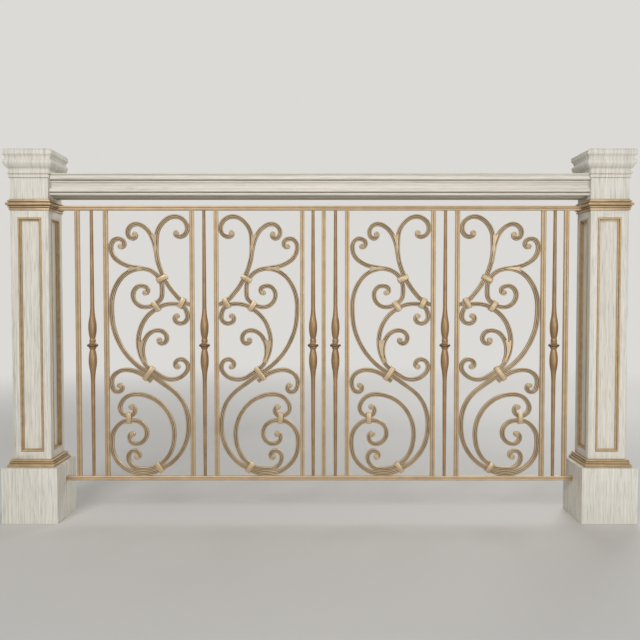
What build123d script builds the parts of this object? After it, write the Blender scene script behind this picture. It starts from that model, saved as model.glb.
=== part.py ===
from build123d import *
import os
from math import atan2, cos, degrees, hypot, pi, radians, sin, sqrt

os.makedirs("parts", exist_ok=True)

# Railing: two wooden posts, a moulded handrail, and an iron infill of square bars, turned
# balusters and four scroll panels. X runs along the railing, -Y is the front, Z is up, and the
# origin is on the ground midway between the posts.

# Posts
post_spacing = 1550.0
plinth_width = 150.0
plinth_height = 150.0
base_moulding_height = 20.0
shaft_width = 102.0
shaft_height = 669.0
neck_moulding_height = 29.5
neck_step = 5.7
torus_bulge = 4.0
head_height = 57.0
cap_height = 74.5

# Sunk panel in each face of a shaft, with its bead frame
panel_stile = 20.0
panel_depth = 9.0
bead_width = 7.0
bead_proud = 1.0
bead_step = 3.0

# Handrail and the strip under it
rail_width = 96.0
rail_height = 58.0
rail_bottom_above_neck = 11.5
strip_width = 36.0
strip_height = 5.0

# Ironwork
bar_width = 12.0
groove_width = 3.6
groove_depth = 0.8
bottom_rail_height = 100.0
top_rail_drop = 24.5
knop_radius = 11.4
ring_radius = 15.0
ring_bottom = -7.0
ring_thickness = 6.0
ring_rounding = 1.0
baluster_end_radius = 4.2

# Scroll panels
scroll_width = 12.0
collar_length = 13.0
collar_thickness = 2.8
eye_radius = 7.3

# Clearances
seat_gap = 0.3
collar_gap = 0.3
crown_gap = 10.7

# Centre lines as drawn: the posts, the square bars in five clusters and the balusters. The bars
# and balusters move with the posts, and a scroll panel fills each bay between two clusters.
drawn_posts = (-775.0, 775.0)
drawn_clusters = [(-664.0, -586.5), (-350.3, -283.8), (-47.6, 11.5, 75.5), (311.8, 378.0), (613.8, 676.3)]
drawn_balusters = [-625.2, -317.0, -18.0, 43.5, 344.9, 645.0]
stretch = post_spacing / (drawn_posts[1] - drawn_posts[0])
bar_clusters = [tuple(stretch * x for x in cluster) for cluster in drawn_clusters]
baluster_centres = [stretch * x for x in drawn_balusters]

# Heights that follow from the sizes above
shaft_bottom = plinth_height + base_moulding_height
neck_bottom = shaft_bottom + shaft_height
head_bottom = neck_bottom + neck_moulding_height
cap_bottom = head_bottom + head_height
rail_bottom = head_bottom + rail_bottom_above_neck
top_rail_bottom = head_bottom - top_rail_drop
bar_bottom = bottom_rail_height + bar_width
bar_length = top_rail_bottom - bar_bottom
head_clear = post_spacing - shaft_width
plinth_clear = post_spacing - plinth_width


def joined(points):
    """Edges through points (u, z, bulge). The bulge bows the edge that ends at the point."""
    edges = []
    for (u0, z0, _), (u1, z1, bulge) in zip(points, points[1:]):
        if bulge:
            run = hypot(u1 - u0, z1 - z0)
            middle = ((u0 + u1) / 2 + bulge * (z1 - z0) / run, (z0 + z1) / 2 - bulge * (u1 - u0) / run)
            edges.append(ThreePointArc((u0, z0), middle, (u1, z1)))
        else:
            edges.append(Line((u0, z0), (u1, z1)))
    return edges


def moulding_face(half_profile):
    """Face that is symmetric about the Z axis, from the profile of its +u side, bottom to top."""
    right = joined(half_profile)
    left = [edge.mirror(Plane.YZ) for edge in right]
    foot = half_profile[0]
    head = half_profile[-1]
    foot_edge = Line((-foot[0], foot[1]), (foot[0], foot[1]))
    head_edge = Line((-head[0], head[1]), (head[0], head[1]))
    return make_face(Curve() + right + left + [foot_edge, head_edge])


def run_moulding(half_profile, length):
    """Moulding that runs along X, with the profile standing in Z."""
    stick = extrude(moulding_face(half_profile), length / 2, both=True)
    return Rot(0, 0, 90) * (Rot(90, 0, 0) * stick)


def mitred_moulding(half_profile):
    """Square moulding whose profile turns the corner in a mitre on all four sides."""
    reach = 3 * max(point[0] for point in half_profile)
    along_x = run_moulding(half_profile, reach)
    return along_x & (Rot(0, 0, 90) * along_x)


def square_block(width, height):
    return Box(width, width, height, align=(Align.CENTER, Align.CENTER, Align.MIN))


def base_moulding():
    """Three treads that close in from the plinth to the shaft, with a groove behind each one."""
    half = shaft_width / 2
    tall = base_moulding_height
    outline = [
        (half + 12.3, 0, 0),
        (half + 12.3, 0.25 * tall, 0),
        (half + 10.0, 0.425 * tall, 1.0),
        (half + 7.3, 0.44 * tall, 0),
        (half + 7.3, 0.55 * tall, 0),
        (half + 9.3, 0.56 * tall, 0),
        (half + 9.3, 0.68 * tall, 0),
        (half + 5.5, 0.69 * tall, 0),
        (half + 5.5, 0.78 * tall, 0),
        (half + 7.0, 0.79 * tall, 0),
        (half + 7.0, 0.875 * tall, 0),
        (half + 4.5, tall, 0.8),
    ]
    return mitred_moulding(outline)


def shaft():
    """Square shaft with a sunk panel in each face."""
    opening = shaft_width - 2 * panel_stile
    tall = shaft_height - 2 * panel_stile
    sink = Box(opening, 2 * panel_depth, tall)
    body = square_block(shaft_width, shaft_height)
    for turn in range(4):
        body -= Rot(0, 0, 90 * turn) * Pos(0, shaft_width / 2, shaft_height / 2) * sink
    return body


def bead_frames():
    """Four frames that line the sunk panels: a raised outer bead and a lower inner step."""
    opening = shaft_width - 2 * panel_stile - 2 * seat_gap
    tall = shaft_height - 2 * panel_stile - 2 * seat_gap
    inner = bead_width - bead_step
    low = panel_depth / 2
    high = panel_depth + bead_proud
    frame = Box(opening, high, tall) - Box(opening - 2 * inner, high, tall - 2 * inner)
    crest = frame.edges().filter_by(Plane.XZ).group_by(Axis.Y)[-1]
    frame = chamfer(crest, inner / 4)
    step_outer = Box(opening - inner, low, tall - inner)
    step_hole = Box(opening - 2 * bead_width, low, tall - 2 * bead_width)
    step = Pos(0, (low - high) / 2, 0) * (step_outer - step_hole)
    frame += step
    back = shaft_width / 2 - panel_depth + seat_gap
    frame = Pos(0, back + high / 2, shaft_height / 2) * frame
    return [Rot(0, 0, 90 * turn) * frame for turn in range(4)]


def neck_moulding():
    """Torus between two fillets, each set off by a groove, over a plain band."""
    half = shaft_width / 2
    tall = neck_moulding_height
    outline = [
        (half + 3.0, 0, 0),
        (half + 3.0, 0.17 * tall, 0),
        (half + 1.5, 0.18 * tall, 0),
        (half + 1.5, 0.24 * tall, 0),
        (half + neck_step, 0.25 * tall, 0),
        (half + neck_step, 0.33 * tall, 0),
        (half + 3.2, 0.34 * tall, 0),
        (half + 3.2, 0.39 * tall, 0),
        (half + neck_step, 0.40 * tall, 0),
        (half + neck_step, 0.69 * tall, torus_bulge),
        (half + 3.2, 0.70 * tall, 0),
        (half + 3.2, 0.76 * tall, 0),
        (half + neck_step, 0.77 * tall, 0),
        (half + neck_step, 0.87 * tall, 0),
        (half + 2.0, 0.88 * tall, 0),
        (half + 2.0, tall, 0),
    ]
    return mitred_moulding(outline)


def cap(grow=0.0):
    """Fillet, groove, bead, cove, ogee, and a corona with a chamfered top edge."""
    half = shaft_width / 2 + grow
    tall = cap_height
    outline = [
        (half + 3.5, 0, 0),
        (half + 3.5, 0.09 * tall, 0),
        (half + 1.8, 0.10 * tall, 0),
        (half + 1.8, 0.12 * tall, 0),
        (half + 3.8, 0.13 * tall, 0),
        (half + 3.8, 0.22 * tall, 1.6),
        (half + 2.8, 0.23 * tall, 0),
        (half + 6.6, 0.35 * tall, -1.4),
        (half + 13.7, 0.51 * tall, 1.0),
        (half + 9.0, 0.65 * tall, 1.8),
        (half + 14.6, 0.81 * tall, -1.2),
        (half + 14.6, 0.95 * tall, 0),
        (half + 11.0, tall, 0),
    ]
    return mitred_moulding(outline)


def handrail():
    """Moulded rail between the head blocks, its ends scribed to the caps above them.

    From the bottom: lip, groove, torus, fillet, cove, fillet, groove, fascia, and a grooved edge.
    """
    half = rail_width / 2
    tall = rail_height
    outline = [
        (half - 6.0, 0, 0),
        (half - 5.0, 0.09 * tall, 1.0),
        (half - 11.0, 0.12 * tall, 0),
        (half - 11.0, 0.14 * tall, 0),
        (half - 5.5, 0.16 * tall, 0),
        (half - 5.5, 0.28 * tall, 1.2),
        (half - 10.5, 0.30 * tall, 0),
        (half - 10.5, 0.34 * tall, 0),
        (half - 13.0, 0.35 * tall, 0),
        (half - 10.5, 0.60 * tall, -2.2),
        (half - 8.0, 0.61 * tall, 0),
        (half - 8.0, 0.665 * tall, 0),
        (half - 11.0, 0.675 * tall, 0),
        (half - 11.0, 0.70 * tall, 0),
        (half - 1.0, 0.72 * tall, 0),
        (half - 1.0, 0.885 * tall, 0.8),
        (half - 3.0, 0.90 * tall, 0),
        (half - 3.0, 0.92 * tall, 0),
        (half - 0.8, 0.935 * tall, 0),
        (half - 2.5, tall, 0.6),
    ]
    rail = run_moulding(outline, head_clear - 2 * seat_gap)
    for side in (-1, 1):
        for rise in (-seat_gap, seat_gap):
            rail -= Pos(side * post_spacing / 2, 0, cap_bottom - rail_bottom + rise) * cap(seat_gap)
    return rail


def grooved_bar(length):
    """Square bar along Z with a shallow groove down its front and back faces."""
    bar = Box(bar_width, bar_width, length, align=(Align.CENTER, Align.CENTER, Align.MIN))
    cut = Box(groove_width, 2 * groove_depth, length, align=(Align.CENTER, Align.CENTER, Align.MIN))
    for side in (-1, 1):
        bar -= Pos(0, side * bar_width / 2, 0) * cut
    return bar


def iron_rail(length):
    return Pos(-length / 2, 0, bar_width / 2) * (Rot(0, 90, 0) * grooved_bar(length))


def baluster():
    """Turned bar: tapered stems, two knops, and a bell with a ring at the middle."""
    half = bar_length / 2
    end = baluster_end_radius
    knop = knop_radius
    ring = ring_radius - ring_rounding
    right = joined([
        (end, -half, 0),
        (0.49 * knop, -0.317 * half, 0),
        (0.72 * knop, -0.197 * half, -0.9),
        (0.63 * knop, ring_bottom - 8.0, 3.6),
        (0.80 * knop, ring_bottom - 5.0, 0),
        (0.92 * knop, ring_bottom - 1.0, 0.5),
        (ring, ring_bottom, 0),
        (ring, ring_bottom + ring_thickness, ring_rounding),
        (0.68 * knop, ring_bottom + 12.0, -1.2),
        (0.63 * knop, ring_bottom + 22.0, 1.2),
        (0.72 * knop, 0.197 * half, 3.6),
        (0.49 * knop, 0.317 * half, -0.9),
        (end, half, 0),
    ])
    axis_edge = Line((0, -half), (0, half))
    foot = Line((0, -half), (end, -half))
    head = Line((0, half), (end, half))
    section = Rot(90, 0, 0) * make_face(Curve() + right + [axis_edge, foot, head])
    return Pos(0, 0, bar_bottom + half) * revolve(section, Axis.Z)


# Scroll panels. The pattern is drawn about its own centre line and then fitted to each bay, so
# that the main scroll touches both square bars and the bottom rail.

# Collars: centre, heading of the bars that pass through, and how many there are
collars = {
    "shoulder": (35.5, 657.3, -62.7, 2),
    "waist": (19.0, 581.8, 33.0, 2),
    "side": (90.0, 590.3, -25.0, 2),
    "middle": (-2.2, 396.0, -35.5, 3),
    "foot": (26.2, 136.0, 33.0, 2),
    "link": (-58.0, 272.3, 0.0, 2),
}


def crown_scroll():
    right = [
        (74.5, 783.7, 242), (84.7, 772.2, 0), (105.8, 795.5, 90), (72.0, 827.3, 180),
        (37.0, 809.0, 229), (21.4, 772.0, 267), (21.2, 723.0, 276), (31.2, 682.6, 289),
        ("shoulder", 0.5), (66.0, 621.2, 310), ("side", 0.5), (112.0, 587.0, 0),
    ]
    left = [
        (24.5, 704.0, 102), (14.3, 757.5, 107), (-10.0, 797.0, 141), (-34.0, 807.0, 180),
        (-57.4, 784.0, 270), (-44.5, 767.6, 0), (-36.5, 779.8, 120),
    ]
    web = [(10.0, 778.0), (20.0, 778.0), (20.0, 740.0), (16.0, 740.0)]
    return [(right, eye_radius, 0), (left, 0, eye_radius)], web


def main_scroll():
    body = [
        (-10.8, 617.5, 0), (-3.6, 626.4, 92), (-22.0, 637.6, 180), (-44.5, 613.0, 270),
        (-11.0, 579.4, 0), ("waist", 0.5), (35.2, 613.0, 86), ("shoulder", -0.5, True),
        (-20.0, 685.0, 180), (-103.9, 586.0, 269), (-93.6, 505.3, 289.5), (-57.1, 441.1, 311),
        (-27.5, 413.0, 322), ("middle", 0), (53.0, 357.0, 325), (85.2, 325.9, 305),
        (106.0, 252.0, 270), (88.8, 183.4, 240), (59.0, 148.6, 219), ("foot", -0.5, True),
        (-16.0, 118.0, 180), (-63.5, 128.3, 149), (-96.2, 160.5, 120), (-106.0, 205.0, 90),
        (-99.4, 238.0, 62), ("link", -0.5), (-46.0, 266.0, 0), (-9.1, 230.0, 268),
        (-38.0, 201.0, 180), (-57.8, 219.0, 90), (-48.3, 230.7, 0),
    ]
    branch = [
        (2.0, 680.8, 163), (-43.0, 689.0, 172), (-104.2, 745.0, 88), (-85.0, 766.8, 0),
        (-67.4, 753.2, 270), (-78.3, 744.4, 160),
    ]
    web = [(-30.0, 687.0), (-55.0, 688.0), (-55.0, 678.0), (-30.0, 682.0)]
    return [(body, eye_radius, 1.1 * eye_radius), (branch, 0, eye_radius)], web


def stem_scroll():
    body = [
        (76.3, 556.4, 190), (70.2, 547.9, 270), (86.3, 534.3, 0), (105.0, 554.5, 92),
        ("side", -0.5, True), (63.0, 588.3, 180), ("waist", -0.5, True), (-10.0, 548.7, 234),
        (-30.8, 482.0, 271), (-12.6, 423.0, 303), ("middle", 1), (60.5, 379.6, 0),
        (95.4, 393.8, 45), (105.4, 414.0, 90), (86.2, 435.3, 180), (70.4, 420.9, 270),
        (77.5, 413.6, 0),
    ]
    branch = [
        (-13.2, 428.0, 113), (-19.0, 470.0, 82), (24.0, 515.3, 0), (47.8, 494.2, 270),
        (34.6, 479.0, 180), (26.0, 489.0, 75),
    ]
    web = [(-30.0, 487.0), (-15.0, 487.0), (-17.0, 450.0), (-24.0, 450.0)]
    return [(body, eye_radius, eye_radius), (branch, 0, eye_radius)], web


def side_scroll():
    body = [
        (4.5, 374.5, 138), ("middle", -1, True), (-65.0, 406.2, 180), (-105.4, 372.0, 270),
        (-88.0, 345.2, 0), (-76.6, 357.0, 92), (-83.8, 364.4, 180),
    ]
    return [(body, 0, eye_radius)], []


def inner_scroll():
    body = [
        (-51.8, 304.9, 10), (-42.2, 294.5, 272), ("link", 0.5, True), (-83.2, 301.0, 90),
        (-73.7, 323.5, 51), (-38.0, 338.8, 0), (48.5, 290.2, 302), (66.7, 229.0, 270),
        (50.9, 168.2, 238), ("foot", 0.5, True), (-26.5, 131.0, 180), (-60.9, 163.5, 90),
        (-44.6, 181.8, 0), (-30.0, 169.9, 270), (-37.2, 162.8, 180),
    ]
    return [(body, eye_radius, eye_radius)], []


scroll_kinds = {
    "crown_scroll": crown_scroll,
    "main_scroll": main_scroll,
    "stem_scroll": stem_scroll,
    "side_scroll": side_scroll,
    "inner_scroll": inner_scroll,
}


def drawn_stations(kind):
    """Stations of a scroll's first bar, without those that a collar gives."""
    return [entry for entry in scroll_kinds[kind]()[0][0][0] if not isinstance(entry[0], str)]


drawn_reach = max(abs(x) for x, _, _ in drawn_stations("main_scroll"))
drawn_foot = min(z for _, z, _ in drawn_stations("main_scroll"))
drawn_top = max(z for _, z, _ in drawn_stations("crown_scroll"))


def bay_scale(half_clear):
    """Stretch across and up that fits the drawn pattern to a bay."""
    across = (half_clear - scroll_width / 2 - seat_gap) / drawn_reach
    up = (bar_length - scroll_width - seat_gap - crown_gap) / (drawn_top - drawn_foot)
    return across, up


def fitted(station, half_clear):
    """Drawn station (x, z, heading in degrees) at its place in the bay."""
    x, z, heading = station
    across, up = bay_scale(half_clear)
    height = bar_bottom + seat_gap + scroll_width / 2 + up * (z - drawn_foot)
    turn = degrees(atan2(up * sin(radians(heading)), across * cos(radians(heading))))
    return across * x, height, turn


def slot(name, place, half_clear, back=False):
    """Station of a bar in a collar. The place counts bars from the middle, leftward positive."""
    x, z, heading = fitted(collars[name][:3], half_clear)
    shift = place * (scroll_width + collar_gap)
    x -= shift * sin(radians(heading))
    z += shift * cos(radians(heading))
    return x, z, heading + (180 if back else 0)


def arcs_between(start, end):
    """Two tangent arcs from one station to the next, each as (x, z, heading, turn, chord)."""
    x0, z0, heading0 = start
    x1, z1, heading1 = end
    a0, a1 = radians(heading0), radians(heading1)
    dx, dz = x1 - x0, z1 - z0
    along = dx * (cos(a0) + cos(a1)) + dz * (sin(a0) + sin(a1))
    spread = 2 * (1 - cos(a0 - a1))
    square = dx * dx + dz * dz
    if spread < 1e-9:
        reach = square / (2 * along)
    else:
        reach = (sqrt(along * along + spread * square) - along) / spread
    xm = (x0 + x1 + reach * (cos(a0) - cos(a1))) / 2
    zm = (z0 + z1 + reach * (sin(a0) - sin(a1))) / 2
    arcs = []
    heading = a0
    for (xs, zs), (xe, ze) in (((x0, z0), (xm, zm)), ((xm, zm), (x1, z1))):
        chord = hypot(xe - xs, ze - zs)
        swing = atan2(ze - zs, xe - xs) - heading
        turn = 2 * ((swing + pi) % (2 * pi) - pi)
        arcs.append((xs, zs, heading, turn, chord))
        heading += turn
    return arcs


def beside(arc, share, side):
    """Point at a share of an arc's turn, set off to its left by side."""
    x, z, heading, turn, chord = arc
    if abs(turn) < 1e-6:
        return (x + share * chord * cos(heading) - side * sin(heading),
                z + share * chord * sin(heading) + side * cos(heading))
    radius = chord / (2 * sin(turn / 2))
    centre = (x - radius * sin(heading), z + radius * cos(heading))
    angle = heading + share * turn
    return (centre[0] + (radius - side) * sin(angle), centre[1] - (radius - side) * cos(angle))


def edge_beside(arc, side):
    first, last = beside(arc, 0, side), beside(arc, 1, side)
    if abs(arc[3]) < 1e-6:
        return Line(first, last)
    return ThreePointArc(first, beside(arc, 0.5, side), last)


def arc_chain(stations):
    return [arc for start, end in zip(stations, stations[1:]) for arc in arcs_between(start, end)]


def bar_face(arcs, width):
    """Flat outline of a bar of the given width whose centre line is a chain of arcs."""
    half = width / 2
    edges = [edge_beside(arc, side) for side in (half, -half) for arc in arcs]
    edges.append(Line(beside(arcs[0], 0, half), beside(arcs[0], 0, -half)))
    edges.append(Line(beside(arcs[-1], 1, half), beside(arcs[-1], 1, -half)))
    return make_face(Curve() + edges)


class Bay:
    """One bay between two square bars, with its pattern as drawn or mirrored."""

    def __init__(self, left_bar, right_bar, mirrored):
        self.centre = (left_bar + right_bar) / 2
        self.half_clear = (right_bar - left_bar - bar_width) / 2
        self.hand = -1 if mirrored else 1

    def station(self, entry):
        if isinstance(entry[0], str):
            name, place, back = (entry + (False,))[:3]
            x, z, heading = slot(name, place, self.half_clear, back)
        else:
            x, z, heading = fitted(entry, self.half_clear)
        return self.placed(x, z, heading)

    def placed(self, x, z, heading):
        turned = heading if self.hand > 0 else 180 - heading
        return self.centre + self.hand * x, z, turned

    def point(self, entry):
        x, z, _ = self.placed(*fitted((entry[0], entry[1], 0), self.half_clear))
        return x, z

    def path(self, entries):
        return [self.station(entry) for entry in entries]


def standing(flat, depth):
    """Flat outline drawn in X and Z, given its depth front to back."""
    return Rot(90, 0, 0) * extrude(flat, depth / 2, both=True)


def scroll(bay, kind):
    """One forged scroll: its bars, the rolled eyes at their tips, and the web in the fork."""
    bars, web = scroll_kinds[kind]()
    flat = Sketch()
    for entries, first_eye, last_eye in bars:
        arcs = arc_chain(bay.path(entries))
        flat += bar_face(arcs, scroll_width)
        for arc, share, radius in ((arcs[0], 0, first_eye), (arcs[-1], 1, last_eye)):
            if radius:
                inward = (radius - scroll_width / 2) * (1 if arc[3] > 0 else -1)
                flat += Pos(*beside(arc, share, inward)) * Circle(radius)
    if web:
        flat += make_face(Polyline([bay.point(corner) for corner in web], close=True))
    return standing(flat, scroll_width)


def collar_bands(bay):
    """Six bands, each cut out to the bars that pass through it."""
    passing = Sketch()
    for kind in scroll_kinds.values():
        for entries, _, _ in kind()[0]:
            passing += bar_face(arc_chain(bay.path(entries)), scroll_width + 2 * seat_gap)
    bars = standing(passing, scroll_width + 2 * seat_gap)
    bands = []
    for name, (x, z, heading, count) in collars.items():
        wide = count * scroll_width + (count - 1) * collar_gap + 2 * seat_gap + 2 * collar_thickness
        deep = scroll_width + 2 * seat_gap + 2 * collar_thickness
        cx, cz, turned = bay.placed(*fitted((x, z, heading), bay.half_clear))
        block = Pos(cx, 0, cz) * Rot(0, -turned, 0) * Box(collar_length, deep, wide)
        bands.append(block - bars)
    return bands


def write(solids, node):
    shape = solids if isinstance(solids, list) else [solids]
    pieces = [solid for item in shape for solid in item.solids()]
    export_step(Compound(children=pieces), f"parts/{node}.step")


for side, x in (("left", -post_spacing / 2), ("right", post_spacing / 2)):
    write(Pos(x, 0, 0) * square_block(plinth_width, plinth_height), f"{side}_plinth")
    write(Pos(x, 0, plinth_height) * base_moulding(), f"{side}_base_moulding")
    write(Pos(x, 0, shaft_bottom) * shaft(), f"{side}_shaft")
    write([Pos(x, 0, shaft_bottom) * frame for frame in bead_frames()], f"{side}_panel_beads")
    write(Pos(x, 0, neck_bottom) * neck_moulding(), f"{side}_neck_moulding")
    write(Pos(x, 0, head_bottom) * square_block(shaft_width, head_height), f"{side}_head_block")
    write(Pos(x, 0, cap_bottom) * cap(), f"{side}_cap")

write(Pos(0, 0, rail_bottom) * handrail(), "handrail")
strip = Box(head_clear - 2 * seat_gap, strip_width, strip_height)
write(Pos(0, 0, rail_bottom - strip_height / 2) * strip, "handrail_under_strip")

neck_reach = neck_step + torus_bulge
write(Pos(0, 0, top_rail_bottom) * iron_rail(head_clear - 2 * neck_reach - 2 * seat_gap), "top_rail")
write(Pos(0, 0, bottom_rail_height) * iron_rail(plinth_clear - 2 * seat_gap), "bottom_rail")

for number, cluster in enumerate(bar_clusters, start=1):
    write([Pos(x, 0, bar_bottom) * grooved_bar(bar_length) for x in cluster], f"square_bars_{number}")
write([Pos(x, 0, 0) * baluster() for x in baluster_centres], "turned_balusters")

all_bands = []
for number, (before, after) in enumerate(zip(bar_clusters, bar_clusters[1:]), start=1):
    bay = Bay(before[-1], after[0], mirrored=number % 2 == 0)
    for kind in scroll_kinds:
        write(scroll(bay, kind), f"panel_{number}_{kind}")
    all_bands += collar_bands(bay)
write(all_bands, "scroll_collars")
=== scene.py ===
from math import atan2, ceil, cos, degrees, hypot, pi, radians, sin, sqrt

import bmesh
import bpy
from mathutils import Euler, Matrix, Vector


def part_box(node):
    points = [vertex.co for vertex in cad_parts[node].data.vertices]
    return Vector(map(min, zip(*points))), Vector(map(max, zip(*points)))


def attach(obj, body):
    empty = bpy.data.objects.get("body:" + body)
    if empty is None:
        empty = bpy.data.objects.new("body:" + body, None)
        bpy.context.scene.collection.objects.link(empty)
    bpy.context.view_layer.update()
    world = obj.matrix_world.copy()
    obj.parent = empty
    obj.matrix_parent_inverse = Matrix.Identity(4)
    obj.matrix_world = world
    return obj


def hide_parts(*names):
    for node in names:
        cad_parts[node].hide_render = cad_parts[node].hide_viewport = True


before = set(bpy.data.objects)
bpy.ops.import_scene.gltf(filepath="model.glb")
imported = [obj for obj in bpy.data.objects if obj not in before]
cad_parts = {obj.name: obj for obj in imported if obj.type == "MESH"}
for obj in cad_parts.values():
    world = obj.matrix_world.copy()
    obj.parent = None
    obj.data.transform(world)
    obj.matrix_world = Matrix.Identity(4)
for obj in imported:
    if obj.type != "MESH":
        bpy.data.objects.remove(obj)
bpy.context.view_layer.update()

# The two posts: plinth, shaft with a sunk panel in each face, head block and moulded cap.
# They are oak boards and blocks, glued up, brushed to open the grain and rubbed with white paint,
# which leaves the pores grey. Brown painted shade darkens their corners.

MM = 0.001
post_centre = 775 * MM
post_arris = 1.2 * MM


def linear(hex_colour):
    """The linear colour of an sRGB hex value."""
    channels = [int(hex_colour[i:i + 2], 16) / 255 for i in (1, 3, 5)]
    return [c / 12.92 if c <= 0.04045 else ((c + 0.055) / 1.055) ** 2.4 for c in channels] + [1.0]


def add(tree, kind, inputs=None, **settings):
    """Add a node, with its settings, and with a value or a linked socket for each named input."""
    node = tree.nodes.new(kind)
    for name, value in settings.items():
        setattr(node, name, value)
    for name, value in (inputs or {}).items():
        if isinstance(value, bpy.types.NodeSocket):
            tree.links.new(value, node.inputs[name])
        else:
            node.inputs[name].default_value = value
    return node


def surface(name, **fixed):
    """A new material: its tree, its shader, and the object coordinates."""
    material = bpy.data.materials.new(name)
    material.use_nodes = True
    tree = material.node_tree
    shader = tree.nodes["Principled BSDF"]
    for socket, value in fixed.items():
        shader.inputs[socket.replace("_", " ")].default_value = value
    place = add(tree, "ShaderNodeTexCoord").outputs["Object"]
    return material, tree, shader, place


def sums(tree, operation, first, second=0.0):
    """The result of one operation on numbers."""
    return add(tree, "ShaderNodeMath", {0: first, 1: second}, operation=operation).outputs[0]


def mapped(tree, value, low, high, at_low, at_high):
    """A number that goes from at_low to at_high while the value goes from low to high."""
    return add(tree, "ShaderNodeMapRange", {
        "Value": value, "From Min": low, "From Max": high, "To Min": at_low, "To Max": at_high,
    }).outputs[0]


def toned(tree, value, low, high, dark, light):
    """A colour that goes from dark to light while the value goes from low to high."""
    ramp = add(tree, "ShaderNodeValToRGB", {"Fac": value})
    for stop, position, colour in zip(ramp.color_ramp.elements, (low, high), (dark, light)):
        stop.position = position
        stop.color = linear(colour)
    return ramp.outputs["Color"]


def covered(tree, colour, coat, share):
    """The colour with a coat over a share of it."""
    return add(tree, "ShaderNodeMix", {0: share, 6: colour, 7: linear(coat)}, data_type="RGBA").outputs[2]


def painted_shade_in_hollows(tree, colour, shade_colour, reach, share):
    """The colour with painted shade laid into hollows up to reach wide, and none on the flats."""
    openness = add(tree, "ShaderNodeAmbientOcclusion", {"Distance": reach}, samples=8, only_local=True)
    return covered(tree, colour, shade_colour, mapped(tree, openness.outputs["AO"], 0.2, 0.68, share, 0.0))


def round_post(tree, place):
    """Object coordinates unrolled round a square post: across a face, a number for it, and up.

    The numbers lie far enough apart for each of the eight faces to have its own figure.
    """
    x, y, z = add(tree, "ShaderNodeSeparateXYZ", {0: place}).outputs
    post = sums(tree, "SIGN", x)
    off_centre = sums(tree, "SUBTRACT", x, sums(tree, "MULTIPLY", post, post_centre))
    on_side = sums(tree, "GREATER_THAN", sums(tree, "ABSOLUTE", off_centre), sums(tree, "ABSOLUTE", y))
    across = add(tree, "ShaderNodeMix", {0: on_side, 2: off_centre, 3: y}).outputs[0]
    far_face = sums(tree, "SIGN", sums(tree, "ADD", off_centre, y))
    face = sums(tree, "ADD", sums(tree, "MULTIPLY", on_side, 2.7), sums(tree, "MULTIPLY", far_face, 0.9))
    face = sums(tree, "ADD", face, sums(tree, "MULTIPLY", post, 3.9))
    return add(tree, "ShaderNodeCombineXYZ", {"X": across, "Y": face, "Z": z}).outputs[0]


def whitewashed_oak(name, grain, shade="#d0cbbf", light="#e3dfd5", pore_share=0.6):
    """Limed oak: chalky white, matt, with soft streaks and grey open pores along the grain, and painted
    shade in its hollows.
    """
    material, tree, shader, place = surface(name, Roughness=0.6)
    upright = grain == "Z"
    if upright:
        place = round_post(tree, place)

    def figure(width, length, detail):
        """Noise drawn out along the grain, from the width and length of one figure."""
        scale = (1 / width, 1.0, 1 / length) if upright else (1 / length, 1 / width, 1 / width)
        stretched = add(tree, "ShaderNodeMapping", {"Vector": place, "Scale": scale}).outputs[0]
        return add(tree, "ShaderNodeTexNoise", {
            "Vector": stretched, "Scale": 1.0, "Detail": detail, "Roughness": 0.6}).outputs["Fac"]

    # Pores of oak are about 0.3 mm wide. They are drawn at 1.3 mm, so that they show in a render.
    streaks = figure(5 * MM, 400 * MM, 4.0)
    pores = figure(1.3 * MM, 60 * MM, 2.0)
    paint = toned(tree, streaks, 0.30, 0.62, shade, light)
    open_grain = mapped(tree, pores, 0.50, 0.70, 0.0, pore_share)
    # Painted shade in the hollows, grey-brown, up to 7 mm wide
    colour = painted_shade_in_hollows(tree, covered(tree, paint, "#8d8578", open_grain), "#85755c", 7 * MM, 0.8)
    tree.links.new(colour, shader.inputs["Base Color"])
    sunk = add(tree, "ShaderNodeBump", {
        "Height": open_grain, "Strength": 0.6, "Distance": 0.25 * MM}, invert=True).outputs[0]
    tree.links.new(sunk, shader.inputs["Normal"])
    return material


def new_object(name, data):
    """A new object in the scene, at the origin."""
    thing = bpy.data.objects.new(name, data)
    bpy.context.collection.objects.link(thing)
    return thing


def finished(rough):
    """The plain mesh that an object comes to with its modifiers. The object is removed."""
    graph = bpy.context.evaluated_depsgraph_get()
    mesh = bpy.data.meshes.new_from_object(rough.evaluated_get(graph))
    bpy.data.objects.remove(rough)
    return mesh


def shown_for(mesh, name, slot, *nodes):
    """A piece of the railing that is shown in place of the CAD nodes."""
    mesh.name = name
    piece = new_object(name, mesh)
    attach(piece, "root")
    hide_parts(*nodes)


def eased(name, node, arris, finish, slot):
    """A copy of a CAD node with its arrises eased, shown in its place."""
    shape = bmesh.new()
    shape.from_mesh(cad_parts[node].data)
    bmesh.ops.remove_doubles(shape, verts=shape.verts, dist=0.01 * MM)
    bmesh.ops.dissolve_limit(shape, angle_limit=radians(0.4), verts=shape.verts, edges=shape.edges)
    mesh = bpy.data.meshes.new(name)
    shape.to_mesh(mesh)
    shape.free()
    mesh.shade_smooth()
    rough = new_object(name + "_rough", mesh)
    bevel = rough.modifiers.new("arris", "BEVEL")
    bevel.width = arris
    bevel.segments = 2
    bevel.limit_method = "ANGLE"
    bevel.angle_limit = radians(32)
    bevel.harden_normals = True
    mesh = finished(rough)
    mesh.materials.clear()
    mesh.materials.append(finish)
    shown_for(mesh, name, slot, node)


upright_oak = whitewashed_oak("whitewashed oak, grain upright", "Z")
for side in ("left", "right"):
    for part in ("plinth", "shaft", "head_block", "cap"):
        eased(f"{side}_{part}_oak", f"{side}_{part}", post_arris, upright_oak, "whitewashed_oak")

# The gilt trim of the posts: the stepped moulding over each plinth, the moulding with a torus
# under each head block, and the bead frames in the sunk panels. They are wood with gold paint,
# toned down, with dark brown painted shade in the corners.

trim_arris = 0.35 * MM


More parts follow.
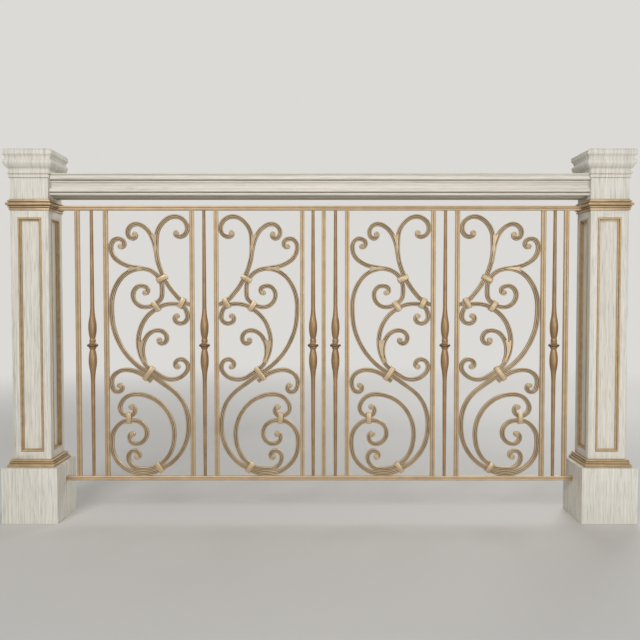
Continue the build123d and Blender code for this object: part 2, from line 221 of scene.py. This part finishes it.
def clouds(tree, place, size, detail):
    """Soft noise with clouds of one size."""
    return add(tree, "ShaderNodeTexNoise", {
        "Vector": place, "Scale": 1 / size, "Detail": detail}).outputs["Fac"]


def gilt(name):
    """Aged gold paint: dull gold with a low sheen, toned in soft clouds, with painted shade in the
    corners.
    """
    material, tree, shader, place = surface(name, Metallic=0.35, Roughness=0.4)
    # The glaze is wiped by hand, which leaves clouds about 14 mm wide
    tone = toned(tree, clouds(tree, place, 14 * MM, 3.0), 0.3, 0.7, "#aa9270", "#bea57e")
    # Painted shade in the hollows, dark brown, up to 6 mm wide
    tree.links.new(painted_shade_in_hollows(tree, tone, "#3d2c1b", 6 * MM, 0.9), shader.inputs["Base Color"])
    return material


aged_gilt = gilt("aged gold paint on wood")
for side in ("left", "right"):
    for part in ("base_moulding", "neck_moulding", "panel_beads"):
        eased(f"{side}_{part}_gilt", f"{side}_{part}", trim_arris, aged_gilt, "gilt_trim")

# The handrail between the head blocks, and the strip under it. The rail is run to its moulding
# from one length of oak and scribed to the caps. The strip is screwed up to it from below.

rail_arris = 0.6 * MM
long_oak = whitewashed_oak("whitewashed oak, grain lengthwise", "X", pore_share=0.35)
eased("handrail_oak", "handrail", rail_arris, long_oak, "whitewashed_oak")
# The strip's paint is darkened as painted shade under the rail
strip_oak_in_painted_shade = whitewashed_oak("whitewashed oak, darkened for painted shade", "X", "#999082", "#b0a898")
eased("handrail_under_strip_oak", "handrail_under_strip", rail_arris, strip_oak_in_painted_shade, "whitewashed_oak")

# The top rail, the bottom rail and the eleven square bars between them. They are 12 mm steel
# bars with a shallow groove rolled down the front and back, welded where they meet.

bar_width = 12 * MM
bottom_rail_bottom = 100 * MM
bar_bottom = bottom_rail_bottom + bar_width
top_rail_bottom = 844 * MM

# Centre lines of the bars in their five clusters, in mm
bar_clusters = [(-664.0, -586.5), (-350.3, -283.8), (-47.6, 11.5, 75.5), (311.8, 378.0), (613.8, 676.3)]


def bronze(name, dark, light, wash_and_shade_share):
    """Antique bronze paint: warm tan with a satin sheen, and a dark wash left in the grooves. On the
    balusters the wash is painted shade on the swellings.
    """
    material, tree, shader, place = surface(name, Metallic=0.35, Roughness=0.42)
    # The paint is rubbed back with a pad, in patches about 30 mm long
    rubbed = toned(tree, clouds(tree, place, 30 * MM, 4.0), 0.3, 0.7, dark, light)
    groove = add(tree, "ShaderNodeAttribute", attribute_name="groove").outputs["Fac"]
    # The dark wash stays in the grooves; on the balusters it is painted shade on the swellings
    wash_and_shade = mapped(tree, groove, 0.2, 0.75, 0.0, wash_and_shade_share)
    tree.links.new(covered(tree, rubbed, "#33251a", wash_and_shade), shader.inputs["Base Color"])
    return material


def ribbed_bar():
    """Geometry nodes that sweep a bar with rounded ribs on its front and back along a flat path.

    The attribute for the dark wash grows from 0 on a rib to 1 between two ribs.
    """
    tree = bpy.data.node_groups.new("ribbed bar", "GeometryNodeTree")
    tree.is_modifier = True
    sockets = tree.interface
    sockets.new_socket("Path", in_out="INPUT", socket_type="NodeSocketGeometry")
    for name in ("Width", "Depth", "Rib Depth"):
        sockets.new_socket(name, in_out="INPUT", socket_type="NodeSocketFloat")
    sockets.new_socket("Ribs", in_out="INPUT", socket_type="NodeSocketInt")
    sockets.new_socket("Steps", in_out="INPUT", socket_type="NodeSocketInt")
    sockets.new_socket("Finish", in_out="INPUT", socket_type="NodeSocketMaterial")
    sockets.new_socket("Bar", in_out="OUTPUT", socket_type="NodeSocketGeometry")
    given = add(tree, "NodeGroupInput").outputs

    # The section is a rectangle with steps along its front and back, and plain flanks
    section = add(tree, "GeometryNodeCurvePrimitiveQuadrilateral", {
        "Width": given["Depth"], "Height": given["Width"]}).outputs["Curve"]
    cuts = sums(tree, "SUBTRACT", sums(tree, "MULTIPLY", given["Ribs"], given["Steps"]), 1.0)
    section = add(tree, "GeometryNodeSubdivideCurve", {"Curve": section, "Cuts": cuts}).outputs["Curve"]
    place = add(tree, "ShaderNodeSeparateXYZ", {
        0: add(tree, "GeometryNodeInputPosition").outputs[0]}).outputs
    half_depth = sums(tree, "MULTIPLY", given["Depth"], 0.4999)
    on_flank = sums(tree, "LESS_THAN", sums(tree, "ABSOLUTE", place["X"]), half_depth)
    section = add(tree, "GeometryNodeDeleteGeometry", {
        "Geometry": section, "Selection": on_flank}, domain="POINT").outputs[0]

    # Its points sink between the ribs, and the outer shoulders of the outer ribs take no wash
    across = sums(tree, "ADD", sums(tree, "DIVIDE", place["Y"], given["Width"]), 0.5)
    wave = sums(tree, "SINE", sums(tree, "MULTIPLY", sums(tree, "MULTIPLY", across, given["Ribs"]), pi))
    sunk = sums(tree, "SUBTRACT", 1.0, sums(tree, "ABSOLUTE", wave))
    face = sums(tree, "MULTIPLY", sums(tree, "SIGN", place["X"]), -1.0)
    inward = sums(tree, "MULTIPLY", sums(tree, "MULTIPLY", sunk, given["Rib Depth"]), face)
    edge = sums(tree, "MULTIPLY", given["Width"], 0.4)
    between_ribs = sums(tree, "LESS_THAN", sums(tree, "ABSOLUTE", place["Y"]), edge)
    section = add(tree, "GeometryNodeStoreNamedAttribute", {
        "Geometry": section, "Name": "groove", "Value": sums(tree, "MULTIPLY", sunk, between_ribs),
    }, domain="POINT").outputs[0]
    section = add(tree, "GeometryNodeSetPosition", {
        "Geometry": section, "Offset": add(tree, "ShaderNodeCombineXYZ", {"X": inward}).outputs[0],
    }).outputs[0]

    # It is swept with its ribs to the front and back, wherever the path turns
    path = add(tree, "GeometryNodeSetCurveNormal", {
        "Curve": given["Path"], "Normal": (0.0, 1.0, 0.0)}, mode="FREE").outputs[0]
    bar = add(tree, "GeometryNodeCurveToMesh", {
        "Curve": path, "Profile Curve": section, "Fill Caps": True}).outputs[0]
    bar = add(tree, "GeometryNodeRealizeInstances", {"Geometry": bar}).outputs[0]
    bar = add(tree, "GeometryNodeSetMaterial", {"Geometry": bar, "Material": given["Finish"]}).outputs[0]
    add(tree, "NodeGroupOutput", {"Bar": bar})
    return tree


def along(paths):
    """Curve data with one poly line for each list of points."""
    lines = bpy.data.curves.new("paths", "CURVE")
    lines.dimensions = "3D"
    for points in paths:
        spline = lines.splines.new("POLY")
        spline.points.add(len(points) - 1)
        for place, point in zip(spline.points, points):
            place.co = (*point, 1.0)
    return lines


def worked(data, tree, values):
    """The mesh that a geometry node tree makes from the data, with its inputs set by name."""
    rough = new_object("rough", data)
    modifier = rough.modifiers.new("made", "NODES")
    modifier.node_group = tree
    for item in tree.interface.items_tree:
        if item.in_out == "INPUT" and item.name in values:
            modifier[item.identifier] = values[item.name]
    return finished(rough)


def ironwork(mesh, name, *nodes):
    """A finished piece of ironwork, smooth but for its arrises, shown in place of the CAD nodes."""
    mesh.shade_smooth()
    mesh.set_sharp_from_angle(angle=radians(40))
    shown_for(mesh, name, "bronze_iron", *nodes)


bright_bronze = bronze("antique bronze paint, rubbed bright", "#ab9373", "#bda480", 0.4)
bar_tree = ribbed_bar()
plain_bar = {"Width": bar_width, "Depth": bar_width, "Rib Depth": 0.8 * MM, "Ribs": 2, "Steps": 6,
             "Finish": bright_bronze}

for node in ("top_rail", "bottom_rail"):
    low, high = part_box(node)
    height = (low.z + high.z) / 2
    rail = worked(along([[(low.x, 0, height), (high.x, 0, height)]]), bar_tree, plain_bar)
    ironwork(rail, f"{node}_bar", node)

for number, cluster in enumerate(bar_clusters, start=1):
    uprights = along([[(x * MM, 0, bar_bottom), (x * MM, 0, top_rail_bottom)] for x in cluster])
    ironwork(worked(uprights, bar_tree, plain_bar), f"square_bars_{number}_grooved",
             f"square_bars_{number}")

# The six turned balusters. Each is one round steel bar turned between centres: long tapered
# ends, two knops, and a flared ring at the middle. They have the same paint, left darker,
# with painted shade on the ring and the fullest part of the knops.

baluster_half = (top_rail_bottom - bar_bottom) / 2
baluster_facets = 32

# In mm: centre lines, radii, and the radii between which the painted shade grows
baluster_centres = [-625.2, -317.0, -18.0, 43.5, 344.9, 645.0]
end_radius = 4.2
knop_radius = 11.4
ring_radius = 14.0
painted_shade_start = 10.5
painted_shade_full = 15.5


def turned_outline():
    """Radius and height of the baluster about its middle, with arcs as short steps, in mm.

    Each mark is a radius, a height and the bulge of the arc that ends there.
    """
    half = baluster_half / MM
    knop = knop_radius
    marks = [
        (end_radius, -half, 0), (0.49 * knop, -0.317 * half, 0), (0.72 * knop, -0.197 * half, -0.9),
        (0.63 * knop, -15, 3.6), (0.80 * knop, -12, 0), (0.92 * knop, -8, 0.5),
        (ring_radius, -7, 0), (ring_radius, -1, 1.0),
        (0.68 * knop, 5, -1.2), (0.63 * knop, 15, 1.2),
        (0.72 * knop, 0.197 * half, 3.6), (0.49 * knop, 0.317 * half, -0.9), (end_radius, half, 0),
    ]
    outline = [marks[0][:2]]
    for (r0, z0, _), (r1, z1, bulge) in zip(marks, marks[1:]):
        run = hypot(r1 - r0, z1 - z0)
        steps = 12 if bulge else 2
        for step in range(1, steps + 1):
            share = step / steps
            swell = 4 * bulge * share * (1 - share) / run
            outline.append((r0 + share * (r1 - r0) + swell * (z1 - z0),
                            z0 + share * (z1 - z0) - swell * (r1 - r0)))
    return outline


def stacked(shape, rings):
    """Walls between rings of as many points, and flat ends."""
    for low, high in zip(rings, rings[1:]):
        for number in range(len(low)):
            after = (number + 1) % len(low)
            shape.faces.new((low[number], low[after], high[after], high[number]))
    shape.faces.new(list(reversed(rings[0])))
    shape.faces.new(rings[-1])


def lathe(shape, groove, outline, x, z):
    """Turn an outline of (radius, height) in mm about an upright axis at x, its middle at height z.

    Painted shade is laid on the ring, where the radius grows past the knops.
    """
    rings = []
    for radius, height in outline:
        ring = []
        for facet in range(baluster_facets):
            angle = 2 * pi * facet / baluster_facets
            ring.append(shape.verts.new((x + radius * MM * cos(angle), radius * MM * sin(angle),
                                         z + height * MM)))
            # Painted shade: the ring and the fullest knops darken as the radius grows
            ring[-1][groove] = max(0.0, (radius - painted_shade_start) / (painted_shade_full - painted_shade_start))
        rings.append(ring)
    stacked(shape, rings)


turned = bmesh.new()
groove_layer = turned.verts.layers.float.new("groove")
for centre in baluster_centres:
    lathe(turned, groove_layer, turned_outline(), centre * MM, bar_bottom + baluster_half)
baluster_mesh = bpy.data.meshes.new("turned_balusters")
turned.to_mesh(baluster_mesh)
turned.free()
# Darker paint, with painted shade on the swellings
baluster_mesh.materials.append(bronze("antique bronze paint, left dark, painted shade on swellings", "#8e6f4e", "#a6865f", 0.6))
ironwork(baluster_mesh, "turned_balusters_round", "turned_balusters")

# The four scroll panels, the second and fourth mirrored. Each scroll is forged from a 12 mm bar
# with three ribs on its front and back, its tips rolled up tight around a small eye. Where one
# bar is split in two, a flat web fills the fork.

# In mm
scroll_width = 12.0
seat_gap = 0.3
collar_gap = 0.3
crown_gap = 10.7
eye_radius = 7.3
eye_facets = 28

# Longest step along an arc, in mm and in degrees
longest_step = 14.0
widest_step = 6.0

# Face of an eye, from its middle to its rim: share of the radius, rise in mm, share of the wash
eye_face = [(0.30, 0.0, 0.0), (0.40, -0.5, 0.9), (0.52, -0.1, 0.0), (0.76, -0.3, 0.0),
            (0.86, -0.7, 0.5), (0.94, -1.0, 0.0), (1.0, -2.2, 0.0)]

# Collars: centre, heading of the bars that pass through, and how many there are
collars = {
    "shoulder": (35.5, 657.3, -62.7, 2),
    "waist": (19.0, 581.8, 33.0, 2),
    "side": (90.0, 590.3, -25.0, 2),
    "middle": (-2.2, 396.0, -35.5, 3),
    "foot": (26.2, 136.0, 33.0, 2),
    "link": (-58.0, 272.3, 0.0, 2),
}

# Each bar: the radius of the eye at its first and last tip, and its centre line as drawn,
# as x, z and heading in degrees, or as a collar, the bar's place in it, and True if it runs back.
scrolls = {
    "crown": [
        (1.0, 0, [
            (74.5, 783.7, 242), (84.7, 772.2, 0), (105.8, 795.5, 90), (72.0, 827.3, 180),
            (37.0, 809.0, 229), (21.4, 772.0, 267), (21.2, 723.0, 276), (31.2, 682.6, 289),
            ("shoulder", 0.5), (66.0, 621.2, 310), ("side", 0.5), (112.0, 587.0, 0)]),
        (0, 1.0, [
            (24.5, 704.0, 102), (14.3, 757.5, 107), (-10.0, 797.0, 141), (-34.0, 807.0, 180),
            (-57.4, 784.0, 270), (-44.5, 767.6, 0), (-36.5, 779.8, 120)]),
    ],
    "main": [
        (1.0, 1.1, [
            (-10.8, 617.5, 0), (-3.6, 626.4, 92), (-22.0, 637.6, 180), (-44.5, 613.0, 270),
            (-11.0, 579.4, 0), ("waist", 0.5), (35.2, 613.0, 86), ("shoulder", -0.5, True),
            (-20.0, 685.0, 180), (-103.9, 586.0, 269), (-93.6, 505.3, 289.5), (-57.1, 441.1, 311),
            (-27.5, 413.0, 322), ("middle", 0), (53.0, 357.0, 325), (85.2, 325.9, 305),
            (106.0, 252.0, 270), (88.8, 183.4, 240), (59.0, 148.6, 219), ("foot", -0.5, True),
            (-16.0, 118.0, 180), (-63.5, 128.3, 149), (-96.2, 160.5, 120), (-106.0, 205.0, 90),
            (-99.4, 238.0, 62), ("link", -0.5), (-46.0, 266.0, 0), (-9.1, 230.0, 268),
            (-38.0, 201.0, 180), (-57.8, 219.0, 90), (-48.3, 230.7, 0)]),
        (0, 1.0, [
            (2.0, 680.8, 163), (-43.0, 689.0, 172), (-104.2, 745.0, 88), (-85.0, 766.8, 0),
            (-67.4, 753.2, 270), (-78.3, 744.4, 160)]),
    ],
    "stem": [
        (1.0, 1.0, [
            (76.3, 556.4, 190), (70.2, 547.9, 270), (86.3, 534.3, 0), (105.0, 554.5, 92),
            ("side", -0.5, True), (63.0, 588.3, 180), ("waist", -0.5, True), (-10.0, 548.7, 234),
            (-30.8, 482.0, 271), (-12.6, 423.0, 303), ("middle", 1), (60.5, 379.6, 0),
            (95.4, 393.8, 45), (105.4, 414.0, 90), (86.2, 435.3, 180), (70.4, 420.9, 270),
            (77.5, 413.6, 0)]),
        (0, 1.0, [
            (-13.2, 428.0, 113), (-19.0, 470.0, 82), (24.0, 515.3, 0), (47.8, 494.2, 270),
            (34.6, 479.0, 180), (26.0, 489.0, 75)]),
    ],
    "side": [
        (0, 1.0, [
            (4.5, 374.5, 138), ("middle", -1, True), (-65.0, 406.2, 180), (-105.4, 372.0, 270),
            (-88.0, 345.2, 0), (-76.6, 357.0, 92), (-83.8, 364.4, 180)]),
    ],
    "inner": [
        (1.0, 1.0, [
            (-51.8, 304.9, 10), (-42.2, 294.5, 272), ("link", 0.5, True), (-83.2, 301.0, 90),
            (-73.7, 323.5, 51), (-38.0, 338.8, 0), (48.5, 290.2, 302), (66.7, 229.0, 270),
            (50.9, 168.2, 238), ("foot", 0.5, True), (-26.5, 131.0, 180), (-60.9, 163.5, 90),
            (-44.6, 181.8, 0), (-30.0, 169.9, 270), (-37.2, 162.8, 180)]),
    ],
}

# Flat webs in the forks, with a small square notch where the bars part
webs = {
    "crown": [
        (7.5, 778.0), (12.2, 778.0), (12.2, 774.5), (16.4, 774.5), (16.4, 778.0), (21.8, 778.0),
        (21.2, 755.0), (21.0, 735.0), (22.5, 715.0), (25.0, 703.0), (22.6, 703.0), (20.6, 715.0),
        (18.0, 735.0), (15.0, 755.0)],
    "main": [
        (-54.5, 689.6), (-54.5, 685.2), (-51.0, 685.2), (-51.0, 681.4), (-54.5, 681.4),
        (-54.5, 677.0), (-44.0, 680.5), (-30.0, 684.0), (-14.0, 685.0), (-14.0, 686.0),
        (-30.0, 688.0), (-43.0, 689.4)],
    "stem": [
        (-30.8, 488.0), (-26.8, 488.0), (-26.8, 484.0), (-22.6, 484.0), (-22.6, 488.0),
        (-15.5, 488.0), (-18.8, 470.0), (-18.4, 452.0), (-15.5, 434.0), (-17.5, 434.0),
        (-24.0, 448.0), (-29.0, 465.0)],
}


def drawn(kind):
    """Points of a scroll's first centre line, without those that a collar gives."""
    return [point for point in scrolls[kind][0][2] if not isinstance(point[0], str)]


# Extent of the drawn pattern, which is stretched to fit each bay
drawn_reach = max(abs(x) for x, _, _ in drawn("main"))
drawn_foot = min(z for _, z, _ in drawn("main"))
drawn_top = max(z for _, z, _ in drawn("crown"))
bar_length = (top_rail_bottom - bar_bottom) / MM


def arc_steps(start, end):
    """Points in mm along the two tangent arcs from one station to the next.

    The reach is the length of the arcs' tangents, which is the same at both stations.
    """
    x0, z0, heading0 = start
    x1, z1, heading1 = end
    a0, a1 = radians(heading0), radians(heading1)
    dx, dz = x1 - x0, z1 - z0
    onward = dx * (cos(a0) + cos(a1)) + dz * (sin(a0) + sin(a1))
    spread = 2 * (1 - cos(a0 - a1))
    square = dx * dx + dz * dz
    if spread < 1e-9:
        reach = square / (2 * onward)
    else:
        reach = (sqrt(onward * onward + spread * square) - onward) / spread
    xm = (x0 + x1 + reach * (cos(a0) - cos(a1))) / 2
    zm = (z0 + z1 + reach * (sin(a0) - sin(a1))) / 2
    points = []
    heading = a0
    for (xs, zs), (xe, ze) in (((x0, z0), (xm, zm)), ((xm, zm), (x1, z1))):
        chord = hypot(xe - xs, ze - zs)
        swing = atan2(ze - zs, xe - xs) - heading
        turn = 2 * ((swing + pi) % (2 * pi) - pi)
        steps = max(1, ceil(abs(degrees(turn)) / widest_step), ceil(chord / longest_step))
        for step in range(1, steps + 1):
            share = step / steps
            if abs(turn) < 1e-6:
                run, bearing = share * chord, heading
            else:
                run, bearing = chord * sin(share * turn / 2) / sin(turn / 2), heading + share * turn / 2
            points.append((xs + run * cos(bearing), zs + run * sin(bearing), heading + share * turn))
        heading += turn
    return points


class Bay:
    """The space between two clusters of bars, with the pattern as drawn or mirrored."""

    def __init__(self, left_bar, right_bar, mirrored):
        self.centre = (left_bar + right_bar) / 2
        half_clear = (right_bar - left_bar - scroll_width) / 2
        self.across = (half_clear - scroll_width / 2 - seat_gap) / drawn_reach
        self.up = (bar_length - scroll_width - seat_gap - crown_gap) / (drawn_top - drawn_foot)
        self.hand = -1 if mirrored else 1

    def fitted(self, x, z, heading):
        """A drawn station at its size in this bay, before it is mirrored and placed."""
        height = bar_bottom / MM + seat_gap + scroll_width / 2 + self.up * (z - drawn_foot)
        turn = degrees(atan2(self.up * sin(radians(heading)), self.across * cos(radians(heading))))
        return self.across * x, height, turn

    def station(self, entry):
        """A station of a bar's centre line, from its own numbers or its place in a collar."""
        if isinstance(entry[0], str):
            name, place, back = (entry + (False,))[:3]
            x, z, heading = self.fitted(*collars[name][:3])
            shift = place * (scroll_width + collar_gap)
            x -= shift * sin(radians(heading))
            z += shift * cos(radians(heading))
            heading += 180 if back else 0
        else:
            x, z, heading = self.fitted(*entry)
        return self.placed(x, z, heading)

    def placed(self, x, z, heading):
        """A fitted station where this bay stands on the railing."""
        return self.centre + self.hand * x, z, heading if self.hand > 0 else 180 - heading

    def line(self, entries):
        """Points (x, z, heading in radians) in mm along a bar's centre line."""
        stations = [self.station(entry) for entry in entries]
        x, z, heading = stations[0]
        points = [(x, z, radians(heading))]
        for start, end in zip(stations, stations[1:]):
            points += arc_steps(start, end)
        return points


def eye(shape, line, at_end, radius):
    """The rolled eye at a bar's tip: a short pin with domed faces, flush with the bar's outside."""
    x, z, heading = line[-1] if at_end else line[0]
    # The eye swells to the side to which the bar curls
    ahead, behind = (line[-1][2], line[-2][2]) if at_end else (line[1][2], line[0][2])
    inward = (radius - scroll_width / 2) * (1 if ahead > behind else -1)
    x, z = x - inward * sin(heading), z + inward * cos(heading)
    groove = shape.verts.layers.float["groove"]
    rings = []
    for front in (1, -1):
        for share, rise, sunk in eye_face[::front]:
            ring = []
            for facet in range(eye_facets):
                angle = -2 * pi * facet / eye_facets
                ring.append(shape.verts.new((
                    (x + radius * share * cos(angle)) * MM, -front * (scroll_width / 2 + rise) * MM,
                    (z + radius * share * sin(angle)) * MM)))
                ring[-1][groove] = sunk
            rings.append(ring)
    stacked(shape, rings)


def web(shape, corners, bay):
    """A flat plate that fills a fork, as deep as the bars."""
    flat = [bay.placed(*bay.fitted(x, z, 0)) for x, z in corners]
    front = [shape.verts.new((x * MM, -scroll_width / 2 * MM, z * MM)) for x, z, _ in flat]
    back = [shape.verts.new((x * MM, scroll_width / 2 * MM, z * MM)) for x, z, _ in flat]
    faces = [shape.faces.new(front), shape.faces.new(list(reversed(back)))]
    for number in range(len(flat)):
        after = (number + 1) % len(flat)
        faces.append(shape.faces.new((front[number], back[number], back[after], front[after])))
    bmesh.ops.recalc_face_normals(shape, faces=faces)


antique_bronze = bronze("antique bronze paint", "#ab9678", "#c2ac8c", 0.95)
ribbed = {"Width": scroll_width * MM, "Depth": scroll_width * MM, "Rib Depth": 1.6 * MM, "Ribs": 3,
          "Steps": 6, "Finish": antique_bronze}
bays = [Bay(before[-1], after[0], number % 2 == 1)
        for number, (before, after) in enumerate(zip(bar_clusters, bar_clusters[1:]))]

for number, bay in enumerate(bays, start=1):
    for kind, bars in scrolls.items():
        lines = [bay.line(entries) for _, _, entries in bars]
        paths = along([[(x * MM, 0, z * MM) for x, z, _ in line] for line in lines])
        mesh = worked(paths, bar_tree, ribbed)
        shape = bmesh.new()
        shape.from_mesh(mesh)
        for (first, last, _), line in zip(bars, lines):
            if first:
                eye(shape, line, False, first * eye_radius)
            if last:
                eye(shape, line, True, last * eye_radius)
        if kind in webs:
            web(shape, webs[kind], bay)
        shape.to_mesh(mesh)
        shape.free()
        ironwork(mesh, f"panel_{number}_{kind}_ribbed", f"panel_{number}_{kind}_scroll")

# The collars that bind the scrolls side by side, six on each panel. Each is a flat strap around
# two or three bars, drawn as a closed band, and its paint is rubbed back to a light tan.

# In mm
strap_length = 13.0
strap_thickness = 2.8
strap_arris = 0.4


def strap(shape, bay, x, z, heading, count):
    """One closed strap around a number of bars."""
    centre_x, centre_z, turned = bay.placed(*bay.fitted(x, z, heading))
    high = (count * scroll_width + (count - 1) * collar_gap) / 2 + seat_gap
    deep = scroll_width / 2 + seat_gap
    turn = Matrix.Rotation(-radians(turned), 4, "Y")
    place = Matrix.Translation((centre_x * MM, 0, centre_z * MM)) @ turn
    # Four corners at each end, first of the inner face and then of the outer
    rings = []
    for reach in (0, strap_thickness):
        for end in (-1, 1):
            rings.append([shape.verts.new(place @ Vector((
                end * strap_length / 2 * MM, y * (deep + reach) * MM, rise * (high + reach) * MM)))
                for y, rise in ((-1, -1), (1, -1), (1, 1), (-1, 1))])
    inner_left, inner_right, outer_left, outer_right = rings
    faces = []
    for corner in range(4):
        after = (corner + 1) % 4
        for first, second in ((inner_left, inner_right), (outer_right, outer_left),
                              (inner_right, outer_right), (outer_left, inner_left)):
            faces.append(shape.faces.new((first[corner], first[after], second[after], second[corner])))
    bmesh.ops.recalc_face_normals(shape, faces=faces)
    edges = list({edge for face in faces for edge in face.edges})
    bmesh.ops.bevel(shape, geom=edges, offset=strap_arris * MM, segments=2, affect="EDGES", profile=0.5)


straps = bmesh.new()
for bay in bays:
    for collar in collars.values():
        strap(straps, bay, *collar)
strap_mesh = bpy.data.meshes.new("scroll_collars")
straps.to_mesh(strap_mesh)
straps.free()
strap_mesh.materials.append(bronze("antique bronze paint, rubbed light", "#b49e7d", "#c6b08f", 0.0))
ironwork(strap_mesh, "scroll_collar_straps", "scroll_collars")

# The stage: a plain pale floor, soft studio lamps, a pale room around, and the camera of the
# photograph. None of it is part of the railing.

pale = linear("#dcdad6")

floor_mesh = bpy.data.meshes.new("floor")
floor_mesh.from_pydata([(-14, -14, 0), (14, -14, 0), (14, 14, 0), (-14, 14, 0)], [], [(0, 1, 2, 3)])
floor = new_object("floor", floor_mesh)
floor_paint, floor_tree, floor_shader, floor_place = surface("pale floor paint", Roughness=0.75)
floor_shader.inputs["Base Color"].default_value = linear("#d9d7d3")

# To the camera the floor fades into the pale room from 1.3 m to 4.5 m away from the railing
seen_floor = add(floor_tree, "ShaderNodeLightPath").outputs["Is Camera Ray"]
distance = add(floor_tree, "ShaderNodeVectorMath", {0: floor_place}, operation="LENGTH").outputs["Value"]
far = add(floor_tree, "ShaderNodeMapRange", {
    "Value": distance, "From Min": 1.3, "From Max": 4.5}, interpolation_type="SMOOTHSTEP").outputs[0]
haze = add(floor_tree, "ShaderNodeEmission", {"Color": pale}).outputs[0]
faded = add(floor_tree, "ShaderNodeMixShader", {
    0: sums(floor_tree, "MULTIPLY", far, seen_floor), 1: floor_shader.outputs[0], 2: haze}).outputs[0]
floor_tree.links.new(faded, floor_tree.nodes["Material Output"].inputs["Surface"])
floor_mesh.materials.append(floor_paint)

# The room lights the railing softly, and shows pale to the camera and in gloss
world = bpy.data.worlds.new("pale room")
bpy.context.scene.world = world
world.use_nodes = True
room = world.node_tree
room.nodes.clear()
ray = add(room, "ShaderNodeLightPath").outputs
seen = sums(room, "MAXIMUM", ray["Is Camera Ray"], ray["Is Glossy Ray"])
seen = sums(room, "MAXIMUM", seen, ray["Is Transmission Ray"])
lit = add(room, "ShaderNodeBackground", {"Color": linear("#ffffff"), "Strength": 0.28}).outputs[0]
shown = add(room, "ShaderNodeBackground", {"Color": pale, "Strength": 1.0}).outputs[0]
mixed = add(room, "ShaderNodeMixShader", {0: seen, 1: lit, 2: shown}).outputs[0]
add(room, "ShaderNodeOutputWorld", {"Surface": mixed})


def lamp(name, place, aim, size, power):
    """A soft square lamp that points at aim."""
    light = bpy.data.lights.new(name, "AREA")
    light.size = size
    light.energy = power
    holder = new_object(name, light)
    holder.location = place
    holder.rotation_euler = (Vector(aim) - Vector(place)).to_track_quat("-Z", "Y").to_euler()


lamp("key lamp", (-1.6, -4.8, 3.4), (0, 0, 0.5), 2.0, 145)
lamp("fill lamp", (1.7, -3.9, 0.7), (0, 0, 0.4), 1.2, 43)
lamp("back lamp", (1.5, 2.6, 2.4), (0, 0, 0.5), 1.6, 45)

# 0.61 m above the floor, 2 m in front, and tipped down by about 2 degrees
camera = new_object("camera", bpy.data.cameras.new("camera"))
camera.data.sensor_width = 36.0
camera.data.lens = 40.934
camera.location = (0.00103, -2.00138, 0.61329)
camera.rotation_euler = Euler((radians(90 - 1.984), 0, 0))
bpy.context.scene.camera = camera
bpy.context.scene.view_settings.view_transform = "Standard"
